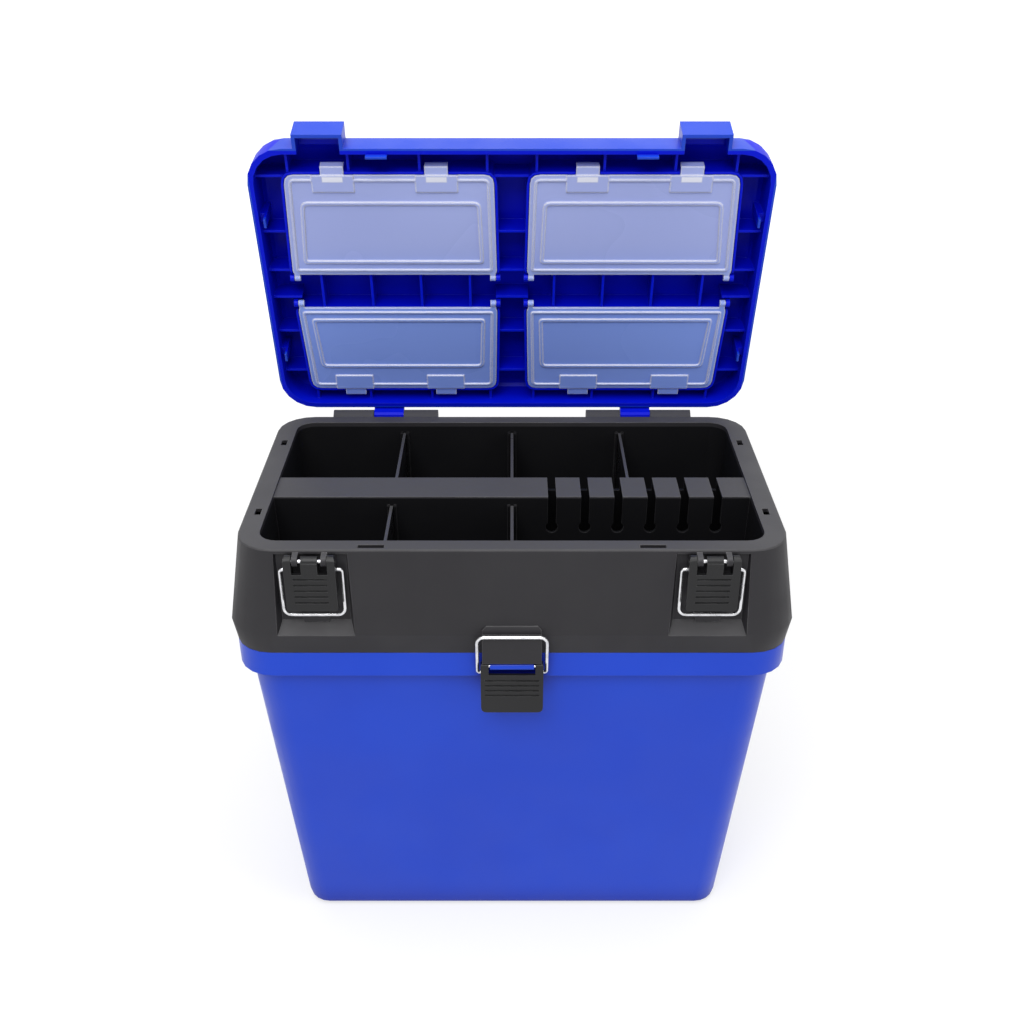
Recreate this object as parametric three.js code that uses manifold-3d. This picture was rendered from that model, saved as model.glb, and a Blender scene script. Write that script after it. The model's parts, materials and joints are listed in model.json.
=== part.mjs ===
// A two-section fishing seat box: a tapered bin, a tray housing hinged on it, and a
// padded lid with four covered compartments. Millimetres, +Z up, front towards -Y.
// Origin on the ground under the middle of the bin. The lid stands open, as in use.

import * as THREE from 'three';
import { ConvexGeometry } from 'three/addons/geometries/ConvexGeometry.js';
import { mergeVertices } from 'three/addons/utils/BufferGeometryUtils.js';
import Module from 'manifold-3d';

const wasm = await Module();
wasm.setup();

// Facets and shared clearances
const cornerSteps = 5;
const edgeSteps = 3;
const holeSides = 12;
const arcSegments = 4;
const wireSegments = 4;
const overrun = 2;
const weldTolerance = 0.0003;
const seatGap = 0.3;
const pinClearance = 0.1;

// Bin
const baseWidth = 336;
const baseDepth = 134;
const baseCorner = 18;
const baseEdge = 8;
const binWidth = 366;
const binDepth = 204;
const binCorner = 24;
const binHeight = 262;
const binWall = 3;
const binFloor = 3.5;

// Overhanging band round the mouth of the bin
const bandOverhang = 7;
const bandCorner = 27;
const bandHeight = 19;
const bandWall = 2.6;
const bandTop = 3;

// Tray housing: its foot is flush with the band, and it is widest at its waist
const waistFlareX = 2;
const waistFlareY = 4.5;
const trayCorner = 29;
const trayWaist = 18;
const trayHeight = 79;
const trayWall = 3;
const rimSetbackX = 10.5;
const rimSetbackY = 6;
const rimCorner = 26;
const rimThickness = 2.8;
const rimEdge = 2;

// Well inside the tray housing
const rimShelfX = 14.5;
const rimShelfY = 12.5;
const wellCorner = 13;
const wellDraft = 1.5;
const wellWall = 2.5;
const wellFloor = 2.5;
const wellHeight = 68;

// Centre bar across the well, with a comb of slots in its right half
const barDepth = 30.6;
const barSetForward = 13.6;
const barDrop = 2;
const barWall = 2.4;
const slotCount = 6;
const slotWidth = 5.9;
const firstSlotX = 28.2;
const lastSlotFromEnd = 22.6;
const slotReach = 24;
const slotEndRadius = 4.4;
const slotRearReach = 9;

// Loose divider plates in guide ribs
const dividerThickness = 2;
const dividerHeight = 60;
const dividerGap = 0.4;
const dividerSpacing = 84.5;
const guideDepth = 2;
const guideWidth = 1.8;

// Lid
const lidHeight = 26;
const lidEdge = 10;
const lidDraft = 1;
const lidWall = 4;
const lidCeiling = 3;
const lidOpenAngle = 75.8;

// Compartments in the lid and their clear doors
const doorInnerX = 11;
const sideChannel = 21.5;
const frontChannel = 20.9;
const rearChannel = 15.5;
const frontDoorHingeY = -9.2;
const rearDoorHingeY = 18.8;
const doorTaper = 3;
const doorCorner = 7;
const doorThickness = 1.6;
const doorDepthInLid = 4.6;
const compartmentWall = 2;
const doorFrameGap = 0.5;
const doorFrameWall = 1.6;
const doorBeadHeight = 1;
const doorBeadWidth = 2.2;
const doorBeadInset = 9.5;
const doorBeadFrontInset = 20;
const doorBeadCorner = 5;
const doorRimInset = 3.2;
const doorRimWidth = 1.4;
const doorPinRadius = 1.5;
const doorPinSetback = 3.2;
const doorPinRise = 1.4;
const doorLugWidth = 4;
const doorLugInset = 3;
const doorLugRadius = 2.4;
const doorEarWidth = 3;
const doorEarRadius = 2.8;
const clipWidth = 16;
const clipBaseWidth = 29;
const clipBaseDepth = 12.5;
const clipShares = [0.275, 0.755];
const clipReach = 6;
const clipLength = 7;
const clipThickness = 1.6;

// Stiffening ribs under the lid
const ribThickness = 1.8;
const edgeRibInset = 6;
const clipRibGap = 3.4;
const middleRibShares = [0.134, 0.376, 0.621, 0.866];
const sideRibShares = [-0.79, -0.4, 0.372, 0.707];
const hingeRibY = [-12, 10.5];

// Snap tabs under the lid and their slots in the rim
const frontTabShare = 0.504;
const frontTabWidth = 14.5;
const sideTabShares = [-0.507, 0.535];
const sideTabLength = 6.4;
const tabThickness = 1.6;
const tabDrop = 3.6;
const tabSetback = 8.6;
const tabClearance = 1.3;

// Seat pad
const padMargin = 3.5;
const padThickness = 6;
const padCrown = 1;
const padEdge = 1.6;
const padShoulder = 19;
const padFlatMargin = 48;

// Hinges at the back
const hingePinRadius = 1.5;
const knuckleRadius = 4.4;
const knuckleFromEnd = 39.5;
const hingeLength = 83;
const movingKnuckleFromInner = 39;
const movingKnuckleWidth = 23.4;
const knuckleGap = 0.4;
const lidHingeBehindRim = 6.2;
const lidHingeBelowRim = 1.9;
const trayHingeBehindBand = 6;
const trayHingeBelowBand = 2;
const knuckleRoot = 13;

// Latches at the lid: two alike
const lidLatchFromEnd = 51;
const lidLatch = {
  leverWidth: 33.4,
  leverDrop: 35.4,
  cheek: 5,
  head: 4.2,
  plate: 2.4,
  flange: 3.8,
  webWidth: 10.6,
  windowDrop: 8,
  corner: 2.6,
  pivotDrop: 7.5,
  pivotBack: 2.5,
  bailWidth: 40.6,
  grooveWidth: 22,
  grooveCount: 5,
  grooveHeight: 1.5,
  groovePitch: 4.4,
  grooveStart: 10.6,
  earOffset: 7.6,
  earWidth: 3.6,
  earRadius: 3.4,
};
const lidLatchPinBelowRim = 5.5;
const lidLatchPinForward = 5;
const catchProud = 9.8;
const catchWidth = 34;
const catchDrop = 6.6;
const catchWall = 2.4;
const catchLip = 0.8;
const catchLipRise = 0.5;

// Latch at the band: one, in the middle
const bandLatch = {
  leverWidth: 42.6,
  leverDrop: 37.1,
  cheek: 5.4,
  head: 3.2,
  plate: 2.6,
  flange: 3.8,
  webWidth: 0,
  windowDrop: 5.9,
  corner: 4,
  pivotDrop: 5.8,
  pivotBack: 1,
  bailWidth: 47,
  grooveWidth: 37,
  grooveCount: 4,
  grooveHeight: 1.6,
  groovePitch: 4.1,
  grooveStart: 9.5,
  earReach: 14.9,
  earRadius: 2.8,
};
const bandLatchPinBelowBandTop = 6.5;
const bandLatchPinBeyondWaist = 1.3;
const bandCatchWidth = 40;
const bandCatchBelowBand = 2.8;
const bandCatchStandOff = 0.7;
const bandCatchSeat = 0.1;
const bandCatchRise = 6.4;
const bandCatchStep = 3.2;
const bandCatchHip = 3;
const bandCatchLedge = 3.4;
const bandCatchFall = 0.6;

// Shared latch details
const latchPinRadius = 1.3;
const wireRadius = 1.2;
const bailCorner = 5;
const bailShoulder = 2;
const bailEndInset = 3.6;
const bailSteps = 4;
const leverTaperStart = 3.4;
const leverTaperEnd = 9;
const bailStandOff = 0.35;
const grooveDepth = 1;
const recessHalfWidth = 23;
const recessFlareShare = 0.353;
const recessSetback = 2.5;
const recessSlopeTop = 54.8;
const recessFloorWall = 2.4;
const bossHalfWidth = 11;
const bossTaper = 3;
const bossProud = 2.4;
const bossHeight = 17;

// Strap lugs on the sides
const lugProud = 14;
const lugWidth = 36;
const lugHeight = 45;
const lugBlend = 8;
const lugPlate = 3.6;
const lugPocketWidth = 26;
const lugPocketFloor = 6;
const lugTopHoleRadius = 2.4;
const lugTopHoleDrop = 8;
const keyholeRadius = 6.4;
const keyholeDrop = 21;
const keyholeNeckRadius = 3.6;
const keyholeNeckDrop = 31;
const lugLowHoleRadius = 2;
const lugLowHoleDrop = 39.5;

// Plans of the sections, from the mouth of the bin upwards
const bandWidth = binWidth + 2 * bandOverhang;
const bandDepth = binDepth + 2 * bandOverhang;
const trayWidth = bandWidth + 2 * waistFlareX;
const trayDepth = bandDepth + 2 * waistFlareY;
const rimWidth = trayWidth - 2 * rimSetbackX;
const rimDepth = trayDepth - 2 * rimSetbackY;
const wellWidth = rimWidth - 2 * rimShelfX;
const wellDepth = rimDepth - 2 * rimShelfY;

// Heights of the stack
const bandTopZ = binHeight + bandHeight;
const footZ = bandTopZ + seatGap;
const waistZ = footZ + trayWaist;
const rimZ = footZ + trayHeight;
const wellFloorZ = rimZ - wellHeight;
const barTopZ = rimZ - barDrop;
const lidZ = rimZ + seatGap;
const lidTopZ = lidZ + lidHeight;
const lidCeilingZ = lidTopZ - lidCeiling;
const doorZ = lidZ + doorDepthInLid;
const wallEndZ = doorZ + doorThickness + seatGap;

// Places along and across the rim
const doorOuterX = rimWidth / 2 - sideChannel;
const frontDoorFrontY = -rimDepth / 2 + frontChannel;
const rearDoorRearY = rimDepth / 2 - rearChannel;
const acrossDoor = (share) => doorInnerX + share * (doorOuterX - doorInnerX);
const clipX = clipShares.map(acrossDoor);
const sideTabY = sideTabShares.map((share) => share * rimDepth / 2);
const frontTabX = frontTabShare * rimWidth / 2;
const lidLatchX = rimWidth / 2 - lidLatchFromEnd;
const knuckleOuterX = rimWidth / 2 - knuckleFromEnd;
const knuckleInnerX = knuckleOuterX - hingeLength;
const movingKnuckleX = knuckleInnerX + movingKnuckleFromInner;
const slotPitch = (wellWidth / 2 - lastSlotFromEnd - firstSlotX) / (slotCount - 1);

// Hinge and latch axes
const lidHinge = { y: rimDepth / 2 + lidHingeBehindRim, z: rimZ - lidHingeBelowRim };
const trayHinge = { y: bandDepth / 2 + trayHingeBehindBand, z: bandTopZ - trayHingeBelowBand };
const lidLatchPin = { y: -rimDepth / 2 - lidLatchPinForward, z: rimZ - lidLatchPinBelowRim };
const bandLatchPin = {
  y: -trayDepth / 2 - bandLatchPinBeyondWaist,
  z: bandTopZ - bandLatchPinBelowBandTop,
};
const catchFrontY = -rimDepth / 2 - catchProud;
const catchTopZ = lidTopZ - catchDrop;
const bandCatchFrontY = bandLatchPin.y - bandLatch.head;
const bandCatchBottomZ = bandTopZ - bandCatchBelowBand;
const frontTabY = -rimDepth / 2 + lidWall + tabThickness / 2;

// Where each bail turns in its lever, and where its bar lies when it is hooked
const lidBailPivot = {
  y: lidLatchPin.y + lidLatch.pivotBack,
  z: lidLatchPin.z - lidLatch.pivotDrop,
};
const lidHook = {
  y: catchFrontY + catchLip + wireRadius + bailStandOff,
  z: catchTopZ + wireRadius + bailStandOff,
};
const bandBailPivot = {
  y: bandLatchPin.y + bandLatch.pivotBack,
  z: bandLatchPin.z - bandLatch.pivotDrop,
};
const bandHook = {
  y: bandCatchFrontY + wireRadius + 2 * bailStandOff,
  z: waistZ + wireRadius + bailStandOff,
};
const lidBailReach = Math.hypot(lidHook.y - lidBailPivot.y, lidHook.z - lidBailPivot.z);
const bandBailReach = Math.hypot(bandHook.y - bandBailPivot.y, bandHook.z - bandBailPivot.z);

// The band's bail stands just in front of its catch, unhooked
const bandBailY = bandCatchFrontY - wireRadius - bailStandOff;
const bandBailLean = Math.asin((bandBailPivot.y - bandBailY) / bandBailReach);

// Turns a closed geometry into a solid that can be joined and cut.
function solid(geometry) {
  geometry.deleteAttribute('normal');
  geometry.deleteAttribute('uv');
  const merged = mergeVertices(geometry, weldTolerance);
  return new wasm.Manifold(new wasm.Mesh({
    numProp: 3,
    vertProperties: new Float32Array(merged.attributes.position.array),
    triVerts: new Uint32Array(merged.index.array),
  }));
}

// Turns a finished solid back into a geometry with flat faces.
function geometryOf(body) {
  const mesh = body.getMesh();
  const indexed = new THREE.BufferGeometry();
  indexed.setAttribute('position', new THREE.BufferAttribute(mesh.vertProperties, 3));
  indexed.setIndex(new THREE.BufferAttribute(mesh.triVerts, 1));
  const flat = indexed.toNonIndexed();
  flat.computeVertexNormals();
  return flat;
}

function union(...bodies) {
  return bodies.reduce((sum, body) => sum.add(body));
}

// A level of a rounded rectangular form: width, depth, corner radius and height.
function level(width, depth, corner, z) {
  return { width, depth, corner, z };
}

function inset(from, amount, z = from.z) {
  const corner = Math.max(from.corner - amount, amount / 4);
  return level(from.width - 2 * amount, from.depth - 2 * amount, corner, z);
}

function ringPoints({ width, depth, corner, z }) {
  const points = [];
  const quarters = [[1, 1], [-1, 1], [-1, -1], [1, -1]];
  quarters.forEach(([sideX, sideY], quarter) => {
    for (let step = 0; step <= cornerSteps; step += 1) {
      const angle = (quarter + step / cornerSteps) * Math.PI / 2;
      points.push([
        sideX * (width / 2 - corner) + corner * Math.cos(angle),
        sideY * (depth / 2 - corner) + corner * Math.sin(angle),
        z,
      ]);
    }
  });
  return points;
}

// A closed form through rounded rectangles, lowest level first.
function loft(levels) {
  const rings = levels.map(ringPoints);
  const count = rings[0].length;
  const index = [];
  for (let ring = 0; ring < rings.length - 1; ring += 1) {
    for (let i = 0; i < count; i += 1) {
      const next = (i + 1) % count;
      const a = ring * count + i;
      const b = ring * count + next;
      index.push(a, b, b + count, a, b + count, a + count);
    }
  }
  const last = (rings.length - 1) * count;
  for (let i = 1; i < count - 1; i += 1) {
    index.push(0, i + 1, i);
    index.push(last, last + i, last + i + 1);
  }
  const geometry = new THREE.BufferGeometry();
  geometry.setAttribute('position', new THREE.Float32BufferAttribute(rings.flat(2), 3));
  geometry.setIndex(index);
  return solid(geometry);
}

// Levels of an edge rounded upwards (side 1) or downwards (side -1) from a straight wall.
function roundedEdge(from, radius, side) {
  const levels = [];
  for (let step = 0; step <= edgeSteps; step += 1) {
    const angle = step / edgeSteps * Math.PI / 2;
    const ring = inset(from, radius * (1 - Math.cos(angle)));
    ring.z = from.z + side * radius * Math.sin(angle);
    levels.push(ring);
  }
  return side > 0 ? levels : levels.reverse();
}

function box(x0, x1, y0, y1, z0, z1) {
  const geometry = new THREE.BoxGeometry(x1 - x0, y1 - y0, z1 - z0);
  geometry.translate((x0 + x1) / 2, (y0 + y1) / 2, (z0 + z1) / 2);
  return solid(geometry);
}

// The same between two values along each axis, in either order.
function spanBox(xs, ys, zs) {
  return box(
    Math.min(...xs), Math.max(...xs),
    Math.min(...ys), Math.max(...ys),
    Math.min(...zs), Math.max(...zs),
  );
}

function convex(points) {
  return solid(new ConvexGeometry(points.map((point) => new THREE.Vector3(...point))));
}

function polygon(points) {
  return new THREE.Shape(points.map(([x, y]) => new THREE.Vector2(x, y)));
}

// A profile drawn in (y, z), extruded from x0 to x1.
function alongX(shape, x0, x1) {
  const geometry = new THREE.ExtrudeGeometry(shape, {
    depth: x1 - x0,
    bevelEnabled: false,
    curveSegments: arcSegments,
  });
  const axes = new THREE.Matrix4().makeBasis(
    new THREE.Vector3(0, 1, 0),
    new THREE.Vector3(0, 0, 1),
    new THREE.Vector3(1, 0, 0),
  );
  geometry.applyMatrix4(axes);
  geometry.translate(x0, 0, 0);
  return solid(geometry);
}

// An outline drawn in (x, y), extruded from z0 to z1.
function alongZ(shape, z0, z1) {
  const geometry = new THREE.ExtrudeGeometry(shape, {
    depth: z1 - z0,
    bevelEnabled: false,
    curveSegments: edgeSteps,
  });
  geometry.translate(0, 0, z0);
  return solid(geometry);
}

// An outline drawn in (x, z), extruded from y0 to y1.
function alongY(shape, y0, y1) {
  const geometry = new THREE.ExtrudeGeometry(shape, {
    depth: y1 - y0,
    bevelEnabled: false,
    curveSegments: edgeSteps,
  });
  geometry.rotateX(Math.PI / 2);
  geometry.translate(0, y1, 0);
  return solid(geometry);
}

function rodX(radius, x0, x1, y, z) {
  const geometry = new THREE.CylinderGeometry(radius, radius, x1 - x0, holeSides);
  geometry.rotateZ(Math.PI / 2);
  geometry.translate((x0 + x1) / 2, y, z);
  return solid(geometry);
}

// A rounded outline through corner points, each with its own radius.
function roundedOutline(corners) {
  const shape = new THREE.Shape();
  corners.forEach(([x, y, radius], i) => {
    const before = corners[(i + corners.length - 1) % corners.length];
    const after = corners[(i + 1) % corners.length];
    const here = new THREE.Vector2(x, y);
    const back = new THREE.Vector2(before[0], before[1]).sub(here).normalize();
    const ahead = new THREE.Vector2(after[0], after[1]).sub(here).normalize();
    const start = here.clone().addScaledVector(back, radius);
    const end = here.clone().addScaledVector(ahead, radius);
    if (i === 0) {
      shape.moveTo(start.x, start.y);
    } else {
      shape.lineTo(start.x, start.y);
    }
    shape.quadraticCurveTo(here.x, here.y, end.x, end.y);
  });
  shape.closePath();
  return shape;
}

// A path that is read only at its own points, so that a wire bends just where they lie.
class Stations extends THREE.Curve {
  constructor(points) {
    super();
    this.points = points;
  }

  getPoint(t) {
    const place = t * (this.points.length - 1);
    const first = Math.min(Math.floor(place + 1e-9), this.points.length - 2);
    return this.points[first].clone().lerp(this.points[first + 1], place - first);
  }

  getPointAt(u) {
    return this.getPoint(u);
  }

  getTangentAt(u) {
    const near = Math.round(u * (this.points.length - 1));
    const before = this.points[Math.max(near - 1, 0)];
    const after = this.points[Math.min(near + 1, this.points.length - 1)];
    return after.clone().sub(before).normalize();
  }
}

function wire(points, radius) {
  const section = new THREE.Shape();
  section.absarc(0, 0, radius, 0, 2 * Math.PI);
  const geometry = new THREE.ExtrudeGeometry(section, {
    steps: points.length - 1,
    extrudePath: new Stations(points),
    curveSegments: wireSegments,
  });
  return solid(geometry);
}

// The outer ring of the tray housing at any height between its waist and its rim.
function trayRing(z) {
  const share = (z - waistZ) / (rimZ - waistZ);
  const mix = (low, high) => low + (high - low) * share;
  return level(mix(trayWidth, rimWidth), mix(trayDepth, rimDepth), mix(trayCorner, rimCorner), z);
}

function wellRing(z, grow = 0) {
  const draft = wellDraft * (rimZ - z) / wellHeight;
  return inset(level(wellWidth, wellDepth, wellCorner, z), draft - grow);
}

// A fixed hinge knuckle or a moving one: an eye on a root that meets the wall behind it.
function knuckle(x0, x1, axis, wallY, lowZ, highZ) {
  const shape = new THREE.Shape();
  const down = -Math.PI / 3;
  const up = Math.PI * 0.72;
  shape.moveTo(wallY, lowZ);
  shape.absarc(axis.y, axis.z, knuckleRadius, down, up, false);
  shape.lineTo(wallY, highZ);
  shape.closePath();
  return alongX(shape, x0, x1);
}

function hangingKnuckle(x0, x1, axis, wallY, lowZ, highZ) {
  const shape = new THREE.Shape();
  shape.moveTo(wallY, lowZ);
  shape.absarc(axis.y, axis.z, knuckleRadius, Math.PI * 0.95, Math.PI * 2.22, false);
  shape.lineTo(wallY, highZ);
  shape.closePath();
  return alongX(shape, x0, x1);
}

function pinHole(x0, x1, axis, radius) {
  return rodX(radius + pinClearance, x0 - overrun, x1 + overrun, axis.y, axis.z);
}

const fixedKnuckleSpans = [
  [knuckleInnerX, movingKnuckleX - movingKnuckleWidth / 2 - knuckleGap],
  [movingKnuckleX + movingKnuckleWidth / 2 + knuckleGap, knuckleOuterX],
];
const movingKnuckleSpan = [
  movingKnuckleX - movingKnuckleWidth / 2,
  movingKnuckleX + movingKnuckleWidth / 2,
];

function bothSides(spans) {
  return spans.flatMap(([x0, x1]) => [[x0, x1], [-x1, -x0]]);
}

// An ear that carries a latch's pin in front of a wall.
function latchEar(radius, x0, x1, pin, wallY, lowZ, highZ) {
  const shape = new THREE.Shape();
  shape.moveTo(wallY, lowZ);
  shape.absarc(pin.y, pin.z, radius, -Math.PI / 2, -Math.PI * 3 / 2, true);
  shape.lineTo(wallY, highZ);
  shape.closePath();
  return alongX(shape, x0, x1);
}

function latchEars(spec, x, pin, wallY, lowZ, highZ) {
  return [-1, 1].map((side) => {
    const edges = [spec.earOffset, spec.earOffset + spec.earWidth].map((value) => x + side * value);
    return latchEar(spec.earRadius, Math.min(...edges), Math.max(...edges), pin,
      wallY, lowZ, highZ);
  });
}

// Strap lug on one side of the bin (side 1 right, -1 left).
function strapLug(side) {
  const innerX = side * (binWidth / 2 - binWall / 2);
  const outerX = side * (bandWidth / 2 + lugProud);
  const pastX = outerX + side * overrun;
  const half = lugWidth / 2;
  const bandX = side * (bandWidth / 2 - bandWall / 2);
  const blendX = bandX + side * lugBlend;
  const outline = new THREE.Shape();
  outline.moveTo(innerX, -half);
  outline.lineTo(bandX, -half - lugBlend);
  outline.quadraticCurveTo(blendX, -half, outerX, -half);
  outline.lineTo(outerX, half);
  outline.quadraticCurveTo(blendX, half, bandX, half + lugBlend);
  outline.lineTo(innerX, half);
  outline.closePath();
  const topZ = bandTopZ;
  const lowZ = topZ - lugHeight;
  const wide = half + lugBlend + overrun;
  const slope = convex([
    [innerX, -wide, lowZ - overrun],
    [innerX, wide, lowZ - overrun],
    [pastX, -wide, lowZ - overrun],
    [pastX, wide, lowZ - overrun],
    [pastX, -wide, lowZ + lugBlend / 2],
    [pastX, wide, lowZ + lugBlend / 2],
  ]);
  const faceX = side * bandWidth / 2;
  const pocketHalf = lugPocketWidth / 2;
  const pocket = spanBox([faceX, outerX - side * lugPlate], [-pocketHalf, pocketHalf],
    [lowZ + lugPocketFloor, topZ + overrun]);
  const drill = (radius, drop) => rodX(
    radius, Math.min(faceX, pastX), Math.max(faceX, pastX), 0, topZ - drop,
  );
  const neck = spanBox([faceX, pastX], [-keyholeNeckRadius, keyholeNeckRadius],
    [topZ - keyholeNeckDrop, topZ - keyholeDrop]);
  return alongZ(outline, lowZ, topZ).subtract(union(
    slope, pocket, neck,
    drill(lugTopHoleRadius, lugTopHoleDrop),
    drill(keyholeRadius, keyholeDrop),
    drill(keyholeNeckRadius, keyholeNeckDrop),
    drill(lugLowHoleRadius, lugLowHoleDrop),
  ));
}

function bin() {
  const base = level(baseWidth, baseDepth, baseCorner, 0);
  const mouth = level(binWidth, binDepth, binCorner, binHeight);
  const wallAt = (z) => {
    const share = z / binHeight;
    const mix = (low, high) => low + (high - low) * share;
    return level(mix(base.width, mouth.width), mix(base.depth, mouth.depth),
      mix(base.corner, mouth.corner), z);
  };
  const outer = loft([
    ...roundedEdge(wallAt(baseEdge), baseEdge, -1),
    mouth,
    level(binWidth, binDepth, binCorner, bandTopZ),
  ]);
  const innerFoot = inset(wallAt(baseEdge + binFloor), binWall);
  const inner = loft([
    ...roundedEdge(innerFoot, baseEdge, -1),
    inset(mouth, binWall),
    inset(mouth, binWall, bandTopZ + overrun),
  ]);
  const bandOuter = level(bandWidth, bandDepth, bandCorner, binHeight);
  const skirt = loft([bandOuter, { ...bandOuter, z: bandTopZ }]);
  const skirtHollow = loft([
    inset(bandOuter, bandWall, binHeight - overrun),
    inset(bandOuter, bandWall, bandTopZ - bandTop),
  ]);
  const shell = outer.add(skirt.subtract(skirtHollow.subtract(outer)));
  const wallY = bandDepth / 2 - bandWall / 2;
  const knuckles = bothSides(fixedKnuckleSpans).map(([x0, x1]) => knuckle(
    x0, x1, trayHinge, wallY, trayHinge.z - knuckleRoot, trayHinge.z,
  ));
  const ear = latchEar(
    bandLatch.earRadius, -bandLatch.earReach, bandLatch.earReach, bandLatchPin, -wallY,
    bandLatchPin.z - knuckleRadius * 2, bandLatchPin.z + bandLatch.earRadius,
  );
  const holes = union(
    pinHole(-knuckleOuterX, knuckleOuterX, trayHinge, hingePinRadius),
    pinHole(-bandLatch.leverWidth / 2, bandLatch.leverWidth / 2, bandLatchPin, latchPinRadius),
  );
  return union(shell, ...knuckles, ear, strapLug(1), strapLug(-1))
    .subtract(inner)
    .subtract(holes);
}

// The space in front of one lid latch, grown all round by a wall for its backing.
function recess(x, grow) {
  const floorY = -rimDepth / 2 + recessSetback + grow;
  const mouthY = -trayDepth / 2 - overrun;
  const depth = floorY - mouthY;
  const flare = recessFlareShare * depth;
  const half = recessHalfWidth + grow;
  const top = rimZ - rimThickness + grow / 2;
  const floorZ = rimZ - recessSlopeTop - grow;
  return convex([
    [x - half, floorY, top], [x + half, floorY, top],
    [x - half - flare, mouthY, top], [x + half + flare, mouthY, top],
    [x - half, floorY, floorZ], [x + half, floorY, floorZ],
    [x - half - flare, mouthY, floorZ - depth], [x + half + flare, mouthY, floorZ - depth],
  ]);
}

function recessBoss(x) {
  const floorY = -rimDepth / 2 + recessSetback;
  const topZ = rimZ - recessSlopeTop + bossHeight;
  const lowZ = rimZ - recessSlopeTop - bossProud;
  const low = bossHalfWidth - bossTaper;
  const back = floorY + recessFloorWall / 2;
  return convex([
    [x - bossHalfWidth, back, topZ], [x + bossHalfWidth, back, topZ],
    [x - bossHalfWidth, floorY - bossProud, topZ - bossProud],
    [x + bossHalfWidth, floorY - bossProud, topZ - bossProud],
    [x - low, back, lowZ], [x + low, back, lowZ],
    [x - low, floorY - bossProud, lowZ + bossProud], [x + low, floorY - bossProud, lowZ + bossProud],
  ]);
}

const barFrontY = -barSetForward - barDepth / 2;
const barBackY = -barSetForward + barDepth / 2;

// The comb of slots through the top of the bar and down its front wall.
function comb() {
  const slots = [];
  for (let i = 0; i < slotCount; i += 1) {
    const x = firstSlotX + i * slotPitch;
    const half = slotWidth / 2;
    const endZ = barTopZ - slotReach;
    slots.push(box(x - half, x + half, barFrontY - overrun, barBackY + overrun,
      barTopZ - slotRearReach, barTopZ + overrun));
    slots.push(box(x - half, x + half, barFrontY - overrun, barFrontY + barWall + overrun,
      endZ, barTopZ));
    const end = new THREE.CylinderGeometry(
      slotEndRadius, slotEndRadius, barWall + 2 * overrun, holeSides);
    end.translate(x, barFrontY + barWall / 2, endZ);
    slots.push(solid(end));
  }
  return union(...slots);
}

const dividers = [
  { name: 'divider_back_left', x: -dividerSpacing, back: true },
  { name: 'divider_back_centre', x: 0, back: true },
  { name: 'divider_back_right', x: dividerSpacing, back: true },
  { name: 'divider_front_left', x: -dividerSpacing, back: false },
  { name: 'divider_front_centre', x: 0, back: false },
];

// Two pairs of guide ribs that hold one divider's ends.
function dividerGuides({ x, back }) {
  const wallSide = back ? 1 : -1;
  const barFace = back ? barBackY : barFrontY;
  const lowFace = wallSide * (wellDepth / 2 - wellDraft);
  const guides = [];
  [-1, 1].forEach((side) => {
    const near = side * (dividerThickness / 2 + dividerGap);
    const far = near + side * guideWidth;
    const x0 = x + Math.min(near, far);
    const x1 = x + Math.max(near, far);
    [
      [lowFace - wallSide * guideDepth, lowFace + wallSide * wellWall / 2],
      [barFace - wallSide * barWall / 2, barFace + wallSide * guideDepth],
    ].forEach((ends) => {
      guides.push(box(x0, x1, Math.min(...ends), Math.max(...ends),
        wellFloorZ - wellFloor / 2, wellFloorZ + dividerHeight));
    });
  });
  return guides;
}

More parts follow.
